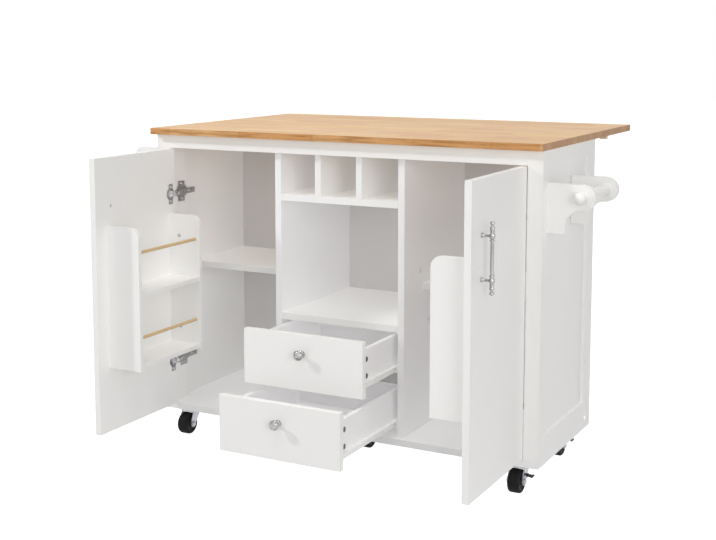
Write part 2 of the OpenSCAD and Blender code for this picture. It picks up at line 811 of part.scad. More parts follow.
module caster_plate() {
    difference() {
        board3([-plate_w / 2, -plate_w / 2, cab_z - plate_t], [plate_w / 2, plate_w / 2, cab_z]);
        for (x = [-1, 1], y = [-1, 1]) translate([x, y, 0] * (plate_w / 2 - 8))
            rod(2.5, cab_z - plate_t - 1, cab_z + 1);
    }
    rod(20, race_z, cab_z - plate_t);
    rod(kingpin_r, bridge_z - 1, race_z);
    rod(kingpin_r + 3, bridge_z - run - 3, bridge_z - run);
}

// side is 1 on the right, and row_y is the swivel axis of the front or the rear pair.
module at_caster(side, row_y) translate([side * caster_x, row_y, 0]) children();

module caster_plates() place() color(grey_steel)
    for (side = [-1, 1], row_y = [caster_front_y, caster_rear_y])
        at_caster(side, row_y) caster_plate();

// A leg is cut from sheet: wide at the bridge, and tapering to the axle.
module leg_outline() {
    polygon([[-20, bridge_z + bridge_t], [15, bridge_z + bridge_t], [15, bridge_z - 4],
        [-trail + 9, wheel_r - 5], [-trail - 9, wheel_r - 5], [-trail - 8, wheel_r + 14],
        [-20, bridge_z - 4]]);
    translate([-trail, wheel_r]) circle(10);
}

brake_x = leg_in + leg_t + 4.5;
brake_z = wheel_r + 15;
brake_y = -trail + 4;

module fork(side, row_y, braked) place() color(grey_steel) at_caster(side, row_y) {
    difference() {
        union() {
            rod(22, bridge_z, bridge_z + bridge_t);
            board3([-leg_in - leg_t, -20, bridge_z], [leg_in + leg_t, 15, bridge_z + bridge_t]);
        }
        rod(kingpin_r + fit, bridge_z - 1, bridge_z + bridge_t + 1);
    }
    yz_board(leg_in, leg_in + leg_t) leg_outline();
    yz_board(-leg_in - leg_t, -leg_in) leg_outline();
    translate([0, -trail, wheel_r]) {
        rod_x(axle_r, -leg_in - leg_t - 2, leg_in + leg_t + 2);
        rod_x(7, leg_in + leg_t, leg_in + leg_t + 3);
        rod_x(7, -leg_in - leg_t - 3, -leg_in - leg_t);
    }
    if (braked) {
        for (y = [brake_y - 11, brake_y + 11 - 2.5])
            board3([leg_in + leg_t - 0.5, y, brake_z - 4], [brake_x + 3, y + 2.5, brake_z + 4]);
        translate([brake_x, 0, brake_z]) rod_y(1.5, brake_y - 11, brake_y + 11);
    }
}

// The tyre has round shoulders, and a slim hub keeps it off the legs.
module wheel(side, row_y) place() color(black_rubber) at_caster(side, row_y)
    translate([0, -trail, wheel_r]) rotate([0, 90, 0]) rotate_extrude() difference() {
        union() {
            shoulder = 5;
            translate([0, -wheel_w / 2]) square([wheel_r - shoulder, wheel_w]);
            translate([0, -wheel_w / 2 + shoulder]) square([wheel_r, wheel_w - 2 * shoulder]);
            for (s = [-1, 1]) translate([wheel_r - shoulder, s * (wheel_w / 2 - shoulder)])
                circle(shoulder);
            translate([0, -leg_in + run]) square([10, 2 * (leg_in - run)]);
        }
        translate([-1, -wheel_w]) square([1 + axle_r + fit, 2 * wheel_w]);
        for (s = [-1, 1]) translate([12, s * (wheel_w / 2) - 1.5]) square([11, 3]);
    }

// A pedal on the outer leg rocks on a pin along the leg.
module brake(side, row_y) place() color(black_rubber) at_caster(side, row_y)
    translate([brake_x, brake_y, brake_z]) difference() {
        union() {
            rod_y(3.5, -8, 8);
            board3([0, -8, 1], [16, 8, 3.5]);
            board3([14, -10, 0], [18, 10, 3.5]);
        }
        rod_y(1.5 + fit, -12, 12);
    }

// ---- Nodes ----

worktop();
side_frames();
side_panels();
bottom_panel();
back_panel();
dividers();
apron();
rear_rail();
front_posts();
bottle_shelf();
bottle_dividers();
niche_floor();
bay_shelves();
shelf_pins_and_caps();
hinge_mounts();
fixed_runners();
leaf_hinge_plates();
bracket_hinge_plates();
towel_arms();
towel_rail();
spice_rack();
spice_rack_dowels();
caster_plates();
door(-1);  // door_left
handle(-1);  // handle_left
hinge_cups(-1);  // hinge_cups_left
door_rack(-1);  // door_rack_left
rack_rails(-1);  // rack_dowels_left
door(1);  // door_right
handle(1);  // handle_right
hinge_cups(1);  // hinge_cups_right
door_rack(1);  // door_rack_right
rack_rails(1);  // rack_dowels_right
drawer_front(upper_z, upper_out);  // drawer_front_upper
drawer_box(upper_z, upper_out);  // drawer_box_upper
drawer_bottom(upper_z, upper_out);  // drawer_bottom_upper
slides(upper_z, upper_out);  // slides_upper
knob(upper_z, upper_out);  // knob_upper
drawer_front(front_z0, lower_out);  // drawer_front_lower
drawer_box(front_z0, lower_out);  // drawer_box_lower
drawer_bottom(front_z0, lower_out);  // drawer_bottom_lower
slides(front_z0, lower_out);  // slides_lower
knob(front_z0, lower_out);  // knob_lower
drop_leaf();
leaf_hinge_flaps();
leaf_pads();
bracket(-1);  // bracket_left
bracket_hinge(-1);  // bracket_hinge_left
bracket(1);  // bracket_right
bracket_hinge(1);  // bracket_hinge_right
fork(-1, caster_front_y, false);  // fork_front_left
fork(1, caster_front_y, true);  // fork_front_right
fork(-1, caster_rear_y, false);  // fork_rear_left
fork(1, caster_rear_y, true);  // fork_rear_right
wheel(-1, caster_front_y);  // wheel_front_left
wheel(1, caster_front_y);  // wheel_front_right
wheel(-1, caster_rear_y);  // wheel_rear_left
wheel(1, caster_rear_y);  // wheel_rear_right
brake(1, caster_front_y);  // brake_front_right
brake(1, caster_rear_y);  // brake_rear_right
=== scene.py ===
import bpy
import numpy as np
from math import cos, pi, radians, sin
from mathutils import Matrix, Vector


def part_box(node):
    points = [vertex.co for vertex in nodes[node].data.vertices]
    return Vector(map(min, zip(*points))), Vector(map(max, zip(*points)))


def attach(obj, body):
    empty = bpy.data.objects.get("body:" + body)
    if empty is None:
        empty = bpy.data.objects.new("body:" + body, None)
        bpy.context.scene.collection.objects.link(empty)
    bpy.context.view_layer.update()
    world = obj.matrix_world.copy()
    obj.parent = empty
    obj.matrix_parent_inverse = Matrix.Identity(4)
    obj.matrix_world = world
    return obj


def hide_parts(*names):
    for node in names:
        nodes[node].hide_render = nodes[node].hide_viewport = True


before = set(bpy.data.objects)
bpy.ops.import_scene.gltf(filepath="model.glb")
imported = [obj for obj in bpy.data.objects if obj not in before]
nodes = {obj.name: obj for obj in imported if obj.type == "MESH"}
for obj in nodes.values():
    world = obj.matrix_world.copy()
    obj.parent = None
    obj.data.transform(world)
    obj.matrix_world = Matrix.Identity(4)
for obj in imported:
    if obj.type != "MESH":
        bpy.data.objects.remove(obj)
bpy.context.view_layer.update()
mm = 0.001
print("frame loaded,", len(nodes), "nodes")


def srgb(red, green, blue):
    # screen values from 0 to 255 as a linear colour
    return tuple((value / 255) ** 2.2 for value in (red, green, blue)) + (1.0,)


def addNode(tree, kind, inputs=None, **settings):
    # an input is linked when it is another node's socket, and set when it is a plain value
    node = tree.nodes.new("ShaderNode" + kind)
    for key, value in settings.items():
        setattr(node, key, value)
    for key, value in (inputs or {}).items():
        if isinstance(value, bpy.types.NodeSocket):
            tree.links.new(value, node.inputs[key])
        else:
            node.inputs[key].default_value = value
    return node


def calc(tree, operation, *values):
    return addNode(tree, "Math", dict(enumerate(values)), operation=operation).outputs[0]


def vectorCalc(tree, operation, *values):
    return addNode(tree, "VectorMath", dict(enumerate(values)), operation=operation).outputs[0]


def product(tree, first, second):
    return calc(tree, "MULTIPLY", first, second)


def stretched(tree, vector, scales):
    return vectorCalc(tree, "MULTIPLY", vector, scales)


def mixed(tree, factor, first, second, blend="MIX"):
    inputs = {0: factor, 6: first, 7: second}
    return addNode(tree, "Mix", inputs, data_type="RGBA", blend_type=blend).outputs[2]


def stained(tree, color, mask, amount, tint):
    return mixed(tree, product(tree, mask, amount), color, tint)


def remap(tree, value, low, high, newLow, newHigh):
    return addNode(tree, "MapRange", {"Value": value, "From Min": low, "From Max": high,
                                      "To Min": newLow, "To Max": newHigh}).outputs["Result"]


def noiseOf(tree, vector, scale, detail=3.0, roughness=0.5):
    return addNode(tree, "TexNoise", {"Vector": vector, "Scale": scale, "Detail": detail,
                                      "Roughness": roughness}).outputs["Fac"]


def newGroup(name, inputs, outputs):
    group = bpy.data.node_groups.new(name, "ShaderNodeTree")
    for label, kind, value in inputs:
        socket = group.interface.new_socket(label, in_out="INPUT", socket_type="NodeSocket" + kind)
        if value is not None:
            socket.default_value = value
    for label, kind in outputs:
        group.interface.new_socket(label, in_out="OUTPUT", socket_type="NodeSocket" + kind)
    return group, group.nodes.new("NodeGroupInput").outputs, group.nodes.new("NodeGroupOutput")


def useGroup(tree, group, **inputs):
    return addNode(tree, "Group", inputs, node_tree=group).outputs


def send(tree, output, **values):
    for key, value in values.items():
        tree.links.new(value, output.inputs[key])


def makeGrain():
    # long streaks, growth lines and short pores that run along X
    tree, given, out = newGroup("woodGrain",
                                [("Vector", "Vector", None), ("Rings", "Float", 160.0)],
                                [("Streak", "Float"), ("Lines", "Float"), ("Pores", "Float")])
    drift = noiseOf(tree, stretched(tree, given["Vector"], (2.2, 9.0, 9.0)), 1.0, 2.0)
    streak = noiseOf(tree, stretched(tree, given["Vector"], (5.0, 120.0, 120.0)), 1.0, 5.0, 0.62)
    across = addNode(tree, "SeparateXYZ", {0: given["Vector"]}).outputs
    phase = calc(tree, "ADD", product(tree, across["Y"], given["Rings"]),
                 product(tree, drift, 34.0))
    lines = calc(tree, "POWER", calc(tree, "ABSOLUTE", calc(tree, "SINE", phase)), 0.7)
    pores = noiseOf(tree, stretched(tree, given["Vector"], (60.0, 1500.0, 1500.0)), 1.0, 2.0)
    send(tree, out, Streak=streak, Lines=lines, Pores=remap(tree, pores, 0.56, 0.72, 0.0, 1.0))
    return tree


def makeStaves():
    # rows of Width across Y, each cut into blocks of about Length along X, with glue seams
    tree, given, out = newGroup(
        "gluedStaves", [("Vector", "Vector", None), ("Width", "Float", 0.05),
                        ("Length", "Float", 0.3), ("Start", "Float", 0.2285)],
        [("RowTone", "Float"), ("BlockTone", "Float"), ("Seam", "Float"), ("Moved", "Vector")])
    place = addNode(tree, "SeparateXYZ", {0: given["Vector"]}).outputs
    across = calc(tree, "DIVIDE", calc(tree, "ADD", place["Y"], given["Start"]), given["Width"])
    row = calc(tree, "FLOOR", across)
    rowRandom = addNode(tree, "TexWhiteNoise", {"W": row}, noise_dimensions="1D").outputs["Value"]
    along = calc(tree, "ADD", calc(tree, "DIVIDE", place["X"], given["Length"]),
                 product(tree, rowRandom, 7.3))
    sway = calc(tree, "SINE", calc(tree, "ADD", product(tree, along, 2.3),
                                   product(tree, row, 5.0)))
    along = calc(tree, "ADD", along, product(tree, sway, 0.3))
    block = calc(tree, "FLOOR", along)
    pair = addNode(tree, "CombineXYZ", {0: row, 1: block, 2: 0.5}).outputs[0]
    blockNoise = addNode(tree, "TexWhiteNoise", {"Vector": pair}, noise_dimensions="3D").outputs
    rowEdge = product(tree, calc(tree, "PINGPONG", across, 0.5), given["Width"])
    blockEdge = product(tree, calc(tree, "PINGPONG", along, 0.5), given["Length"])
    seam = remap(tree, calc(tree, "MINIMUM", rowEdge, blockEdge), 0.0002, 0.0008, 1.0, 0.0)
    moved = vectorCalc(tree, "ADD", given["Vector"],
                       vectorCalc(tree, "SCALE", blockNoise["Color"]))
    send(tree, out, RowTone=rowRandom, BlockTone=blockNoise["Value"], Seam=seam, Moved=moved)
    return tree


def makeFilm():
    # a sprayed film: faint clouds of tone, a fine stipple, and a little less gloss in places
    tree, given, out = newGroup("paintFilm",
                                [("Vector", "Vector", None), ("Stipple", "Float", 700.0)],
                                [("Tone", "Float"), ("Dull", "Float"), ("Height", "Float")])
    clouds = noiseOf(tree, given["Vector"], 3.5, 3.0)
    flecks = noiseOf(tree, given["Vector"], 55.0, 4.0, 0.6)
    stipple = noiseOf(tree, given["Vector"], given["Stipple"], 2.0)
    tone = calc(tree, "ADD", product(tree, clouds, 0.7), product(tree, flecks, 0.3))
    send(tree, out, Tone=tone, Dull=flecks, Height=stipple)
    return tree


def makeMetal():
    # worked metal: cloudy smudges and hairline scratches along Z
    tree, given, out = newGroup("workedMetal", [("Vector", "Vector", None)],
                                [("Smudge", "Float"), ("Hairline", "Float"), ("Height", "Float")])
    smudge = noiseOf(tree, given["Vector"], 70.0, 4.0, 0.6)
    hairline = noiseOf(tree, stretched(tree, given["Vector"], (1400.0, 1400.0, 60.0)), 1.0, 2.0)
    grit = noiseOf(tree, given["Vector"], 900.0, 2.0)
    send(tree, out, Smudge=smudge, Hairline=hairline, Height=grit)
    return tree


grainGroup, stavesGroup, filmGroup, metalGroup = makeGrain(), makeStaves(), makeFilm(), makeMetal()


def newMaterial(name, metallic=0.0, roughness=0.5, specular=0.5):
    # returns the material, its tree, its shader and the Object coordinates
    material = bpy.data.materials.new(name)
    material.use_nodes = True
    tree = material.node_tree
    shader = tree.nodes["Principled BSDF"]
    shader.inputs["Metallic"].default_value = metallic
    shader.inputs["Roughness"].default_value = roughness
    shader.inputs["Specular IOR Level"].default_value = specular
    return material, tree, shader, addNode(tree, "TexCoord").outputs["Object"]


def roundedEdges(tree, radius):
    # a normal that turns over the arrises, and a mask that is 1 on them, which places the painted
    # highlight on the arrises
    soft = addNode(tree, "Bevel", {"Radius": radius}, samples=6).outputs[0]
    plain = addNode(tree, "NewGeometry").outputs["True Normal"]
    likeness = addNode(tree, "VectorMath", {0: soft, 1: plain}, operation="DOT_PRODUCT")
    return soft, remap(tree, likeness.outputs["Value"], 0.75, 0.99, 1.0, 0.0)


def addRoughness(tree, shader, mask, smoothest, roughest):
    # noise lies mostly between 0.3 and 0.7
    tree.links.new(remap(tree, mask, 0.3, 0.7, smoothest, roughest), shader.inputs["Roughness"])


def addRelief(tree, shader, height, distance, normal=None):
    values = {"Height": height, "Distance": distance, "Strength": 1.0}
    if normal is not None:
        values["Normal"] = normal
    tree.links.new(addNode(tree, "Bump", values).outputs[0], shader.inputs["Normal"])


top = {
    "staveWidth": 0.062, "blockLength": 0.15, "rings": 150.0, "specular": 0.14,
    "edgeRadius": 0.0016, "relief": 0.00006, "roughness": (0.46, 0.6),
    "yellow": srgb(255, 225, 172), "pink": srgb(250, 210, 178), "dark": srgb(206, 157, 108),
    "pore": srgb(150, 106, 66), "glue": srgb(150, 108, 70), "figure": srgb(150, 96, 48),
    "ring": srgb(140, 98, 66),
    "frontTint": (0.74, 0.58, 0.38, 1.0), "endTint": (0.68, 0.62, 0.63, 1.0),
    # how much of each shows, from 0 to 1
    "rowShare": 0.65, "blockShare": 0.35, "bandMost": 0.34, "blockMost": 0.26, "streakMost": 0.34,
    "lineMost": 0.10, "poreMost": 0.16, "seamMost": 0.35, "figureMost": 0.62, "ringMost": 0.25,
    "edgeHighlightMost": 0.25,
}


def makeTopWood():
    material, tree, shader, place = newMaterial("staved_top", specular=top["specular"])
    stave = useGroup(tree, stavesGroup, Vector=place, Width=top["staveWidth"],
                     Length=top["blockLength"])
    grain = useGroup(tree, grainGroup, Vector=stave["Moved"], Rings=top["rings"])
    hue = calc(tree, "ADD", product(tree, stave["RowTone"], top["rowShare"]),
               product(tree, stave["BlockTone"], top["blockShare"]))
    color = mixed(tree, hue, top["yellow"], top["pink"])
    band = noiseOf(tree, stretched(tree, place, (1.3, 26.0, 1.0)), 1.0, 2.0, 0.6)
    color = mixed(tree, remap(tree, band, 0.42, 0.64, 0.0, top["bandMost"]), color, top["dark"])
    color = stained(tree, color, stave["BlockTone"], top["blockMost"], top["dark"])
    color = stained(tree, color, grain["Streak"], top["streakMost"], top["dark"])
    color = stained(tree, color, grain["Lines"], top["lineMost"], top["dark"])
    color = stained(tree, color, grain["Pores"], top["poreMost"], top["pore"])
    color = stained(tree, color, stave["Seam"], top["seamMost"], top["glue"])
    # the long edges show redder side grain, and the ends the cut staves with their rings
    facing = addNode(tree, "SeparateXYZ",
                     {0: tree.nodes["Texture Coordinate"].outputs["Normal"]}).outputs
    long, ends = (calc(tree, "POWER", calc(tree, "ABSOLUTE", facing[axis]), 4.0)
                  for axis in ("Y", "X"))
    sideTone = remap(tree, stave["BlockTone"], 0.0, 1.0, 0.75, 1.0)
    color = mixed(tree, product(tree, long, sideTone), color, top["frontTint"], "MULTIPLY")
    figure = noiseOf(tree, stretched(tree, place, (9.0, 1.0, 170.0)), 1.0, 4.0, 0.65)
    streaks = remap(tree, figure, 0.46, 0.62, 0.0, top["figureMost"])
    color = stained(tree, color, long, streaks, top["figure"])
    color = mixed(tree, ends, color, top["endTint"], "MULTIPLY")
    rings = addNode(tree, "TexWave", {"Vector": stave["Moved"], "Scale": 90.0, "Distortion": 9.0,
                                      "Detail": 2.0}, wave_type="RINGS").outputs["Fac"]
    color = stained(tree, color, product(tree, ends, rings), top["ringMost"], top["ring"])
    soft, edge = roundedEdges(tree, top["edgeRadius"])
    # painted highlight: the rounded arrises are lightened towards the pale yellow
    color = stained(tree, color, edge, top["edgeHighlightMost"], top["yellow"])
    tree.links.new(color, shader.inputs["Base Color"])
    addRoughness(tree, shader, grain["Streak"], *top["roughness"])
    dips = calc(tree, "SUBTRACT", product(tree, grain["Streak"], 0.3),
                calc(tree, "ADD", grain["Pores"], stave["Seam"]))
    addRelief(tree, shader, dips, top["relief"], soft)
    return material


def makePlainWood(name, light, dark, turn=(0.0, 0.0, pi / 2), rings=420.0):
    # one straight-grained stick or block; turn brings its length onto X
    material, tree, shader, place = newMaterial(name)
    place = addNode(tree, "Mapping", {"Vector": place, "Rotation": turn}).outputs[0]
    grain = useGroup(tree, grainGroup, Vector=place, Rings=rings)
    color = mixed(tree, grain["Streak"], light, dark)
    color = stained(tree, color, grain["Lines"], 0.22, dark)
    color = stained(tree, color, grain["Pores"], 0.25, srgb(150, 112, 72))
    tree.links.new(color, shader.inputs["Base Color"])
    addRoughness(tree, shader, grain["Streak"], 0.48, 0.62)
    addRelief(tree, shader, calc(tree, "SUBTRACT", grain["Streak"], grain["Pores"]), 0.00005)
    return material


def makePaint(name, light, shade, edgeRadius=0.0014, roughness=(0.34, 0.46), stipple=620.0):
    # two near tones in clouds, with a painted highlight that pales the paint where an arris is
    # rounded
    material, tree, shader, place = newMaterial(name)
    film = useGroup(tree, filmGroup, Vector=place, Stipple=stipple)
    color = mixed(tree, film["Tone"], light, shade)
    soft, edge = roundedEdges(tree, edgeRadius)
    # painted highlight: the rounded arrises are lightened towards white
    color = stained(tree, color, edge, 0.5, srgb(246, 246, 244))
    tree.links.new(color, shader.inputs["Base Color"])
    addRoughness(tree, shader, film["Dull"], *roughness)
    addRelief(tree, shader, film["Height"], 0.00002, soft)
    return material


def makeMetalFinish(name, bright, dull, roughness, height=0.000004):
    # bright metal clouded by smudges and dulled by hairlines
    material, tree, shader, place = newMaterial(name, metallic=1.0)
    finish = useGroup(tree, metalGroup, Vector=place)
    color = mixed(tree, finish["Smudge"], bright, dull)
    tree.links.new(color, shader.inputs["Base Color"])
    worn = calc(tree, "ADD", product(tree, finish["Smudge"], 0.7),
                product(tree, finish["Hairline"], 0.3))
    addRoughness(tree, shader, worn, *roughness)
    addRelief(tree, shader, finish["Height"], height)
    return material


def makeMoulded(name, base, worn, roughness):
    # moulded rubber or plastic with a fine grain and pale scuffs
    material, tree, shader, place = newMaterial(name, specular=0.2)
    film = useGroup(tree, filmGroup, Vector=place, Stipple=1200.0)
    scuffs = remap(tree, noiseOf(tree, place, 160.0, 5.0, 0.7), 0.55, 0.75, 0.0, 1.0)
    color = mixed(tree, film["Tone"], base, worn)
    color = stained(tree, color, scuffs, 0.35, worn)
    tree.links.new(color, shader.inputs["Base Color"])
    addRoughness(tree, shader, film["Dull"], *roughness)
    addRelief(tree, shader, film["Height"], 0.00004)
    return material


topWood = makeTopWood()
dowelWood = makePlainWood("dowel_wood", srgb(222, 196, 156), srgb(198, 164, 118))
blockWood = makePlainWood("block_wood", srgb(228, 212, 188), srgb(208, 188, 160),
                          turn=(0.0, 0.0, 0.0), rings=260.0)
whitePaint = makePaint("white_paint", srgb(243, 242, 240), srgb(239, 238, 236))
innerPaint = makePaint("inner_paint", srgb(244, 243, 244), srgb(240, 239, 239))
# greyer than the white paint: painted shade for the back panel deep inside the bays
shadedBackPaint = makePaint("back_paint_painted_shade", srgb(226, 223, 222), srgb(220, 217, 216), stipple=420.0)
runnerWhite = makePaint("runner_white", srgb(243, 243, 241), srgb(238, 238, 236), 0.0004,
                        (0.25, 0.36), 1500.0)
nickel = makeMetalFinish("polished_nickel", (0.42, 0.415, 0.41, 1), (0.30, 0.295, 0.29, 1),
                         (0.07, 0.18))
plated = makeMetalFinish("plated_steel", (0.60, 0.60, 0.61, 1), (0.46, 0.46, 0.47, 1),
                         (0.22, 0.38))
zinc = makeMetalFinish("caster_steel", (0.50, 0.51, 0.53, 1), (0.36, 0.37, 0.39, 1),
                       (0.28, 0.45), 0.00001)
capMetal = makeMetalFinish("cap_metal", (0.86, 0.85, 0.84, 1), (0.78, 0.77, 0.76, 1), (0.4, 0.5))
camMetal = makeMetalFinish("cam_metal", (0.20, 0.20, 0.21, 1), (0.12, 0.12, 0.13, 1), (0.35, 0.5))
tyreRubber = makeMoulded("tyre_rubber", srgb(9, 9, 10), srgb(19, 19, 19), (0.6, 0.8))
hubPlastic = makeMoulded("hub_plastic", srgb(24, 25, 27), srgb(36, 36, 38), (0.4, 0.55))
pedalPlastic = makeMoulded("pedal_plastic", srgb(18, 18, 20), srgb(32, 32, 34), (0.35, 0.5))

# the material of each carried-over node; what isn't named here is white paint
finishes = [
    (shadedBackPaint, ["back_panel"]),
    (innerPaint, ["dividers", "bottom_panel", "drawer_box_upper", "drawer_box_lower",
                  "drawer_bottom_upper", "drawer_bottom_lower"]),
    (topWood, ["worktop", "drop_leaf"]),
    (dowelWood, ["rack_dowels_left", "rack_dowels_right", "spice_rack_dowels"]),
    (blockWood, ["leaf_pads"]),
    (plated, ["hinge_mounts", "hinge_cups_left", "hinge_cups_right", "leaf_hinge_plates",
              "leaf_hinge_flaps", "bracket_hinge_plates", "bracket_hinge_left",
              "bracket_hinge_right"]),
    (capMetal, ["shelf_pins_and_caps"]),
    (nickel, ["handle_left", "handle_right", "knob_upper", "knob_lower"]),
    (runnerWhite, ["fixed_runners", "slides_upper", "slides_lower"]),
    (zinc, ["caster_plates"] + [name for name in nodes if name.startswith("fork_")]),
    (tyreRubber, [name for name in nodes if name.startswith("wheel_")]),
    (pedalPlastic, [name for name in nodes if name.startswith("brake_")]),
]
dressed = {name: material for material, names in finishes for name in names}
for name, node in nodes.items():
    node.data.materials.clear()
    node.data.materials.append(dressed.get(name, whitePaint))
print("materials made and given to the carried-over nodes")


def smoothLine(points, steps=5):
    # a curve through all the points: on each span a cubic that keeps its neighbours' slope
    p = np.array(points, float)
    p = np.vstack([2 * p[0] - p[1], p, 2 * p[-1] - p[-2]])
    t = (np.arange(steps) / steps)[None, :, None]
    a, b, c, d = (p[i:len(p) - 3 + i][:, None, :] for i in range(4))
    line = 0.5 * (2 * b + (c - a) * t + (2 * a - 5 * b + 4 * c - d) * t ** 2
                  + (3 * b - a - 3 * c + d) * t ** 3)
    return np.vstack([line.reshape(-1, 2), p[-2]])


def axisFrame(direction):
    # three unit vectors at right angles, the last one along the direction
    w = np.array(direction, float)
    w /= np.linalg.norm(w)
    u = np.cross((0, 1, 0) if abs(w[1]) < 0.9 else (0, 0, 1), w)
    u /= np.linalg.norm(u)
    return np.array([u, np.cross(w, u), w])


def cosOf(angle):
    return np.cos(angle)[None, :, None]


def sinOf(angle):
    return np.sin(angle)[None, :, None]


def turned(profile, centre, direction, segments=48, closed=False, shape=None):
    # a profile of (distance along the axis, radius) carried round the axis:
    # point = centre + radius * (u cos t + v sin t) + distance * w. shape may change the
    # grids of distance, radius and angle. An open profile is closed by a point at each end
    profile = np.array(profile, float)
    angle = np.arange(segments) * 2 * pi / segments
    along, radius = (np.repeat(profile[:, k, None], segments, 1) for k in (0, 1))
    if shape is not None:
        along, radius = shape(along, radius, angle[None, :])
    u, v, w = axisFrame(direction)
    grid = (np.array(centre, float) + radius[..., None] * (cosOf(angle) * u + sinOf(angle) * v)
            + along[..., None] * w)
    rows = len(profile)
    index = np.arange(rows * segments).reshape(rows, segments)
    after = np.roll(index, -1, 1)
    if closed:
        nextRow, nextAfter = np.roll(index, -1, 0), np.roll(after, -1, 0)
        quads = np.stack([index, after, nextAfter, nextRow], -1).reshape(-1, 4)
        return grid.reshape(-1, 3), [quads]
    quads = np.stack([index[:-1], after[:-1], after[1:], index[1:]], -1).reshape(-1, 4)
    poles = np.array([grid[0].mean(0), grid[-1].mean(0)])
    low, high = rows * segments, rows * segments + 1
    fans = np.vstack([np.stack([after[0], index[0], np.full(segments, low)], -1),
                      np.stack([index[-1], after[-1], np.full(segments, high)], -1)])
    return np.vstack([grid.reshape(-1, 3), poles]), [quads, fans]


def makePiece(name, parts, material, body, replaced=(), crease=38):
    # joins surfaces into one piece that rides on a body
    faces, start = [], 0
    for partPoints, partFaces in parts:
        for block in partFaces:
            faces += (np.asarray(block) + start).tolist()
        start += len(partPoints)
    mesh = bpy.data.meshes.new(name)
    mesh.from_pydata((np.vstack([points for points, _ in parts]) * mm).tolist(), [], faces)
    mesh.validate()
    mesh.polygons.foreach_set("use_smooth", [True] * len(mesh.polygons))
    mesh.set_sharp_from_angle(angle=radians(crease))
    mesh.materials.append(material)
    piece = bpy.data.objects.new(name, mesh)
    bpy.context.scene.collection.objects.link(piece)
    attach(piece, body)
    if replaced:
        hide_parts(*replaced)
    return piece


def corners(node):
    # the low and the high corner of a node's box, in millimetres
    return (np.array(corner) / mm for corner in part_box(node))


def middle(node):
    low, high = corners(node)
    return (low + high) / 2


def mirrored(half):
    # a half profile from the middle outwards, repeated the other way round
    half = np.array(half, float)
    other = half[::-1].copy()
    other[:, 0] *= -1
    return np.vstack([other, half[1:]])


handle = {
    "postSpan": 103.0, "postOut": 26.0, "sides": 32, "steps": 4,
    # along the bar from its middle, and the radius there
    "half": [(0, 4.6), (16, 4.5), (30, 4.3), (37, 4.1), (38.9, 4.2), (39.5, 5.5), (41, 6.2),
             (42.5, 5.5), (43.1, 4.3), (44.6, 4.5), (46.6, 6.0), (49, 6.8), (51.5, 7.0), (54, 6.8),
             (56.4, 6.0), (58.4, 4.5), (60, 4.3), (60.6, 5.3), (62, 5.9), (63.4, 5.3), (64, 4.2),
             (66, 5.0), (68.5, 5.9), (71, 5.6), (73.5, 4.3), (75.6, 3.2), (76.8, 3.1), (77.8, 4.2),
             (79.6, 5.4), (81.6, 5.7), (83.6, 5.0), (85.2, 3.2), (85.9, 1.2)],
    # from the door outwards
    "post": [(0, 5.9), (0.5, 6.4), (1.8, 6.4), (2.4, 5.8), (2.6, 5.0), (3.4, 4.6), (4.4, 4.8),
             (5.2, 4.2), (6.0, 3.5), (9, 2.9), (14, 2.7), (19, 2.9), (22, 3.6), (26, 4.2)],
}
handlePosts = np.array([-0.5, 0.5]) * handle["postSpan"]
for side, outward in (("left", -1), ("right", 1)):
    centre = middle("handle_" + side)
    low, high = corners("handle_" + side)
    face = high[0] if outward < 0 else low[0]
    barCentre = (face + outward * handle["postOut"], centre[1], centre[2])
    bar = turned(mirrored(smoothLine(handle["half"], handle["steps"])), barCentre, (0, 0, 1),
                 handle["sides"])
    posts = [turned(smoothLine(handle["post"], handle["steps"]), (face, centre[1], centre[2] + dz),
                    (outward, 0, 0), handle["sides"]) for dz in handlePosts]
    makePiece("turned_handle_" + side, [bar] + posts, nickel, "door_" + side,
              ["handle_" + side])
print("handles turned")


knob = {
    "sides": 40, "steps": 4,
    # from the drawer's front outwards: a foot, a waist and a ringed head
    "profile": [(0, 9.0), (0.5, 9.4), (1.7, 9.4), (2.4, 8.8), (2.9, 7.2), (4.5, 5.8), (8, 5.0),
                (12, 5.1), (14.6, 6.6), (16.6, 9.8), (18.6, 12.6), (20.4, 13.6), (22.0, 13.7),
                (23.2, 13.0), (23.6, 12.0), (22.9, 11.0), (22.9, 10.0), (24.4, 8.6), (26.0, 5.6),
                (26.8, 2.6), (27, 1.0)],
}
for level in ("upper", "lower"):
    low, high = corners("knob_" + level)
    centre = (low + high) / 2
    parts = [turned(smoothLine(knob["profile"], knob["steps"]), (centre[0], high[1], centre[2]),
                    (0, -1, 0), knob["sides"])]
    makePiece("turned_knob_" + level, parts, nickel, "drawer_" + level,
              ["knob_" + level])
print("knobs turned")


rail = {
    "radius": 15.0, "straight": (0, 60, 105),
    "ballCentre": 123.5, "ballRadius": 16.0, "ballFrom": 132.0, "ballTo": 4.0, "ballRows": 18,
    # from the outer face of an arm to the ball
    "neck": [(105.6, 14.9), (106.4, 14.9), (107.2, 14.2), (107.8, 11.9), (109, 10.6),
             (110.6, 10.9)],
}
ballAngles = np.linspace(radians(rail["ballFrom"]), radians(rail["ballTo"]), rail["ballRows"])
ball = np.stack([rail["ballCentre"] + rail["ballRadius"] * np.cos(ballAngles),
                 rail["ballRadius"] * np.sin(ballAngles)], 1)
neck = smoothLine(rail["neck"] + [(ball[0][0] - 0.6, ball[0][1] - 0.7)], 4)
half = np.vstack([[(reach, rail["radius"]) for reach in rail["straight"]], neck, ball])
makePiece("turned_towel_rail", [turned(mirrored(half), middle("towel_rail"), (0, 1, 0))],
          whitePaint, "cabinet", ["towel_rail"])
print("towel rail turned")


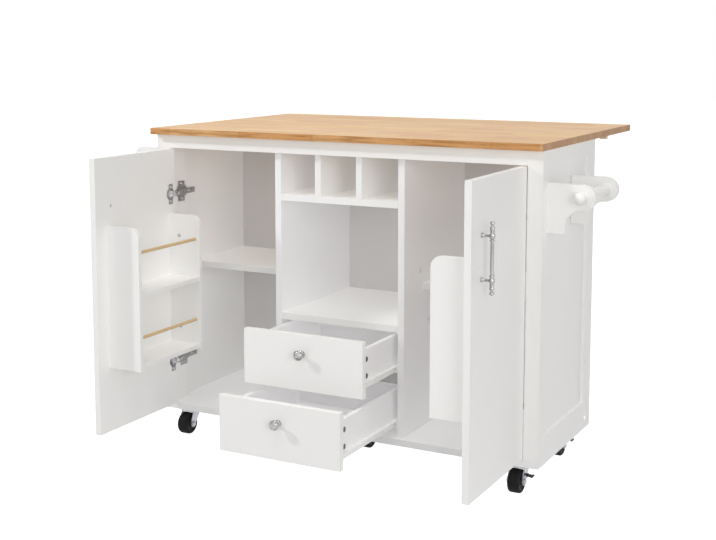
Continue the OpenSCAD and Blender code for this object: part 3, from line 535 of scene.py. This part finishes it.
casterNames = ("front_left", "front_right", "rear_left", "rear_right")
wheel = {
    "tyreSides": 64, "hubSides": 72, "webReach": 14.0,
    # across the wheel, and the radius there
    "tyre": [(-15.4, 21.6), (-16, 22.8), (-16, 26.0), (-15.4, 28.2), (-13.8, 29.9), (-11, 31.0),
             (-5.4, 31.0), (-4.8, 30.2), (-3.4, 30.2), (-2.8, 31.0), (2.8, 31.0), (3.4, 30.2),
             (4.8, 30.2), (5.4, 31.0), (11, 31.0), (13.8, 29.9), (15.4, 28.2), (16, 26.0),
             (16, 22.8), (15.4, 21.6), (8, 21.2), (-8, 21.2)],
    "hub": [(-18.4, 4.4), (-18.7, 5.0), (-18.7, 8.6), (-17.6, 9.7), (-13.6, 10.6), (-12.4, 11.8),
            (-12.2, 14.6), (-12.4, 17.6), (-13.4, 19.1), (-15.0, 19.7), (-15.3, 20.5),
            (-15.0, 21.5), (15.0, 21.5), (15.3, 20.5), (15.0, 19.7), (13.4, 19.1), (12.4, 17.6),
            (12.2, 14.6), (12.4, 11.8), (13.6, 10.6), (17.6, 9.7), (18.7, 8.6), (18.7, 5.0),
            (18.4, 4.4)],
    "spokes": 6, "spokeRise": 2.2, "webRadius": 14.7, "webHalf": 3.9,
}


def spoked(along, radius, angle):
    # between boss and rim the web swells into spokes: distance + rise * web across * lobes round
    web = np.clip(1 - ((radius - wheel["webRadius"]) / wheel["webHalf"]) ** 2, 0, 1)
    web = web * (np.abs(along) < wheel["webReach"])
    lobes = np.clip(0.5 + 0.9 * np.cos(wheel["spokes"] * angle), 0, 1)
    return along + np.sign(along) * wheel["spokeRise"] * web * lobes, radius


def tyreAt(centre):
    return turned(wheel["tyre"], centre, (1, 0, 0), wheel["tyreSides"], closed=True)


def hubAt(centre):
    return turned(wheel["hub"], centre, (1, 0, 0), wheel["hubSides"], closed=True, shape=spoked)


for corner in casterNames:
    body = "wheel_" + corner
    centre = middle(body)
    makePiece("tyre_" + corner, [tyreAt(centre)], tyreRubber, body, [body])
    makePiece("hub_" + corner, [hubAt(centre)], hubPlastic, body)
print("wheels made")


# radii are shares of the head's size, and so are the cross's half width, slope and reach
screw = {"head": [(0, 1.0), (0.9, 1.0), (1.3, 0.93), (1.65, 0.78), (1.9, 0.58), (2.0, 0.40),
                  (2.05, 0.26), (2.08, 0.12)],
         "slot": 0.17, "slotSlope": 0.06, "slotReach": 0.62, "slotDepth": 1.1, "sides": 24}


def crossed(along, radius, angle, size):
    # the head's top drops inside a cross of two bars: distance - depth * in either bar
    x, y = radius * np.cos(angle) / size, radius * np.sin(angle) / size
    near = np.minimum(np.abs(x), np.abs(y))
    bars = np.clip((screw["slot"] - near) / screw["slotSlope"], 0, 1)
    bars = bars * (np.hypot(x, y) < screw["slotReach"])
    return along - bars * screw["slotDepth"] * (along > 1.0), radius


def screwHead(centre, direction, size):
    profile = [(out, share * size) for out, share in screw["head"]]
    return turned(profile, centre, direction, screw["sides"],
                  shape=lambda along, radius, angle: crossed(along, radius, angle, size))


# mount screws are (out from the wall, back from the foot's middle, up from it)
hinge = {
    "armBack": 51.0, "half": 30.0, "mountScrew": 3.7,
    "mountScrews": [(2.6, 0, -22), (2.6, 0, 22), (13.6, 22, 0)],
    "cupScrew": 3.8, "cupFlange": 1.5, "cupAt": -224.0, "cupIn": 29.0, "cupReach": 20.5,
}
rack = {"board": 12.0, "screw": 5.5, "screwDepth": 34.0, "screwHeights": (340.0, 604.0)}
handleScrew = 4.6
for side, inward in (("left", 1), ("right", -1)):
    low, high = corners("door_rack_" + side)
    doorFace = low[0] if inward > 0 else high[0]
    x = doorFace + inward * rack["screwDepth"]
    heads = [screwHead((x, y, z), (0, towards, 0), rack["screw"]) for z in rack["screwHeights"]
             for y, towards in ((high[1] - rack["board"], -1), (low[1] + rack["board"], 1))]
    handleAt = middle("handle_" + side)
    heads += [screwHead((doorFace, handleAt[1], handleAt[2] + dz), (inward, 0, 0), handleScrew)
              for dz in handlePosts]
    cupLow, cupHigh = corners("hinge_cups_" + side)
    heads += [screwHead((doorFace + inward * hinge["cupFlange"], hinge["cupAt"], z + dz),
                        (inward, 0, 0), hinge["cupScrew"])
              for z in (cupLow[2] + hinge["cupIn"], cupHigh[2] - hinge["cupIn"])
              for dz in (-hinge["cupReach"], hinge["cupReach"])]
    makePiece("door_screws_" + side, heads, plated, "door_" + side)
    mountLow, mountHigh = corners("hinge_mounts")
    wallX = mountLow[0] if inward > 0 else mountHigh[0]
    footY = mountHigh[1] - hinge["armBack"]
    heads = [screwHead((wallX + inward * out, footY + back, z + dz), (inward, 0, 0),
                       hinge["mountScrew"])
             for z in (mountLow[2] + hinge["half"], mountHigh[2] - hinge["half"])
             for out, back, dz in hinge["mountScrews"]]
    makePiece("hinge_screws_" + side, heads, plated, "cabinet")

cam = {"radius": 7.2, "behind": 42.0, "below": (53.0, 97.0), "sides": 32,
       "profile": [(0, 1.0), (0.35, 1.0), (0.5, 0.94), (0.5, 0.6), (0.5, 0.34), (0.5, 0.12)]}
camProfile = [(out, share * cam["radius"]) for out, share in cam["profile"]]
for level in ("upper", "lower"):
    frontLow, frontHigh = corners("drawer_front_" + level)
    boxLow, boxHigh = corners("drawer_box_" + level)
    discs = [turned(camProfile, (x, frontLow[1] + cam["behind"], frontHigh[2] - below),
                    (way, 0, 0), cam["sides"])
             for x, way in ((boxLow[0], -1), (boxHigh[0], 1)) for below in cam["below"]]
    makePiece("cam_locks_" + level, discs, camMetal, "drawer_" + level)


nut = {"profile": [(0, 8.3), (3.3, 8.3), (3.8, 7.4), (3.8, 5.0), (4.4, 4.6), (4.9, 3.4),
                   (5.1, 1.4)],
       "flatsBeyond": 6.4, "out": 21.5, "sides": 36}


def hexagonal(along, radius, angle):
    # the outer rows take a six-sided outline: radius * cos 30 / cos(angle within its flat)
    within = (angle + pi / 6) % (pi / 3) - pi / 6
    flats = radius * cos(pi / 6) / np.cos(within)
    return along, np.where(radius > nut["flatsBeyond"], flats, radius)


def nutsAt(axle):
    # one nut on each end of the axle
    return [turned(nut["profile"], axle + (way * nut["out"], 0, 0), (way, 0, 0), nut["sides"],
                   shape=hexagonal) for way in (-1, 1)]


for corner in casterNames:
    makePiece("axle_nuts_" + corner, nutsAt(middle("wheel_" + corner)), zinc, "fork_" + corner)
print("fastenings made")


def copied(node, shift, low=-1e9, high=1e9):
    # the faces of a carried-over node between two corners, welded at equal points and moved
    mesh = nodes[node].data
    flat = np.empty(3 * len(mesh.vertices))
    mesh.vertices.foreach_get("co", flat)
    turn = np.array(nodes[node].matrix_world)
    points = (flat.reshape(-1, 3) @ turn[:3, :3].T + turn[:3, 3]) / mm
    mesh.calc_loop_triangles()
    triangles = np.empty(3 * len(mesh.loop_triangles), int)
    mesh.loop_triangles.foreach_get("vertices", triangles)
    triangles = triangles.reshape(-1, 3)
    inside = np.all((points > low) & (points < high), 1)
    triangles = triangles[inside[triangles].all(1)]
    _, first, welded = np.unique(np.round(points, 3), axis=0, return_index=True,
                                 return_inverse=True)
    faces = welded.reshape(-1)[triangles]
    used, renumbered = np.unique(faces, return_inverse=True)
    return points[first][used] + shift, [renumbered.reshape(-1, 3)]


# a fifth caster under the middle of the cabinet is the same as the other four, and fixed to it
centreCaster = {"like": "rear_left", "plateHalf": 45.0, "trail": 20.0, "place": (5.0, -14.0),
                "heights": (-1.0, 1000.0)}
axle = middle("wheel_" + centreCaster["like"])
swivelAt = np.array([axle[0], axle[1] + centreCaster["trail"]])
shift = np.append(np.array(centreCaster["place"]) - swivelAt, 0.0)
plateLow = np.append(swivelAt - centreCaster["plateHalf"], centreCaster["heights"][0])
plateHigh = np.append(swivelAt + centreCaster["plateHalf"], centreCaster["heights"][1])
steelParts = [copied("caster_plates", shift, plateLow, plateHigh),
              copied("fork_" + centreCaster["like"], shift)] + nutsAt(axle + shift)
makePiece("middle_caster_steel", steelParts, zinc, "cabinet")
makePiece("middle_caster_tyre", [tyreAt(axle + shift)], tyreRubber, "cabinet")
makePiece("middle_caster_hub", [hubAt(axle + shift)], hubPlastic, "cabinet")
print("middle caster made")


studio = {
    "floorSize": 40.0, "floorTone": 0.55, "floorLift": 0.86, "skyLevel": 0.24, "fillAngle": 20.0,
    # name, place, target, width and height in metres, power in watts
    "lamps": [("front", (-0.3, -4.6, 1.7), (0, 0, 0.5), (4.5, 1.5), 22.5),
              ("frontRight", (3.4, -3.2, 1.5), (0, 0, 0.5), (2.0, 2.0), 50.0),
              ("right", (4.4, -0.6, 1.5), (0, 0, 0.5), (2.0, 2.0), 3.0),
              ("overhead", (0.3, -2.3, 3.8), (0, 0, 0.5), (2.0, 2.0), 26.0),
              ("left", (-3.3, -2.1, 2.85), (0, -0.4, 0.35), (0.25, 0.25), 66.0),
              ("rear", (-1.6, 4.6, 0.6), (0, 0, 0.4), (3.0, 0.8), 75.0)],
    # name, direction it comes from, strength: a fill that casts no shadow
    "fills": [("fillRight", (0.88, -0.26, 0.40), 0.44), ("fillTop", (0.1, -0.1, 0.99), 0.68)],
}


def cameraRay(tree):
    # 1 for camera, glossy and transmission rays
    path = addNode(tree, "LightPath").outputs
    return calc(tree, "MAXIMUM", path["Is Camera Ray"],
                calc(tree, "MAXIMUM", path["Is Glossy Ray"], path["Is Transmission Ray"]))


def makeFloor():
    # its tone lights the object, and what the camera sees is lifted to white but for the shadow
    edge = np.array([-0.5, 0.5]) * studio["floorSize"]
    x, y = np.meshgrid(edge, edge)
    mesh = bpy.data.meshes.new("floor")
    mesh.from_pydata(np.stack([x, y, 0 * x], -1).reshape(-1, 3).tolist(), [], [[0, 1, 3, 2]])
    floor = bpy.data.objects.new("floor", mesh)
    bpy.context.scene.collection.objects.link(floor)
    material, tree, shader, _ = newMaterial("floor_white", roughness=0.9, specular=0.0)
    shader.inputs["Base Color"].default_value = (studio["floorTone"],) * 3 + (1,)
    shader.inputs["Emission Color"].default_value = (1, 1, 1, 1)
    tree.links.new(product(tree, cameraRay(tree), studio["floorLift"]),
                   shader.inputs["Emission Strength"])
    mesh.materials.append(material)


def makeSky():
    # white to the camera, and dimmer as a light
    world = bpy.data.worlds.new("studio")
    bpy.context.scene.world = world
    world.use_nodes = True
    tree = world.node_tree
    background = tree.nodes["Background"]
    background.inputs["Color"].default_value = (1, 1, 1, 1)
    tree.links.new(remap(tree, cameraRay(tree), 0.0, 1.0, studio["skyLevel"], 1.0),
                   background.inputs["Strength"])


def placeLight(light, place, away):
    # a light shines along its own -Z, so its Z points away from the target
    away = np.array(away) / np.linalg.norm(away)
    holder = bpy.data.objects.new(light.name, light)
    holder.location = place
    holder.rotation_euler = (np.arccos(away[2]), 0.0, np.arctan2(away[1], away[0]) + pi / 2)
    bpy.context.scene.collection.objects.link(holder)


makeFloor()
makeSky()
for name, place, target, size, power in studio["lamps"]:
    lamp = bpy.data.lights.new(name, "AREA")
    lamp.shape, lamp.energy = "RECTANGLE", power
    lamp.size, lamp.size_y = size
    placeLight(lamp, place, np.array(place) - np.array(target))
for name, comesFrom, strength in studio["fills"]:
    fill = bpy.data.lights.new(name, "SUN")
    fill.energy, fill.angle, fill.use_shadow = strength, radians(studio["fillAngle"]), False
    placeLight(fill, (0, 0, 0), comesFrom)

view = {"place": (1.57759, -3.07356, 1.1631), "turn": 27.81, "down": 6.74, "lens": 61.95,
        "sensor": 36.0, "shiftY": -0.12, "reach": 100.0}
cameraData = bpy.data.cameras.new("camera")
cameraData.sensor_width = view["sensor"]
cameraData.lens = view["lens"]
cameraData.shift_y = view["shiftY"]
cameraData.clip_end = view["reach"]
camera = bpy.data.objects.new("camera", cameraData)
camera.location = view["place"]
camera.rotation_euler = (radians(90 - view["down"]), 0.0, radians(view["turn"]))
bpy.context.scene.collection.objects.link(camera)
bpy.context.scene.camera = camera
bpy.context.scene.view_settings.view_transform = "Standard"
print("studio set")
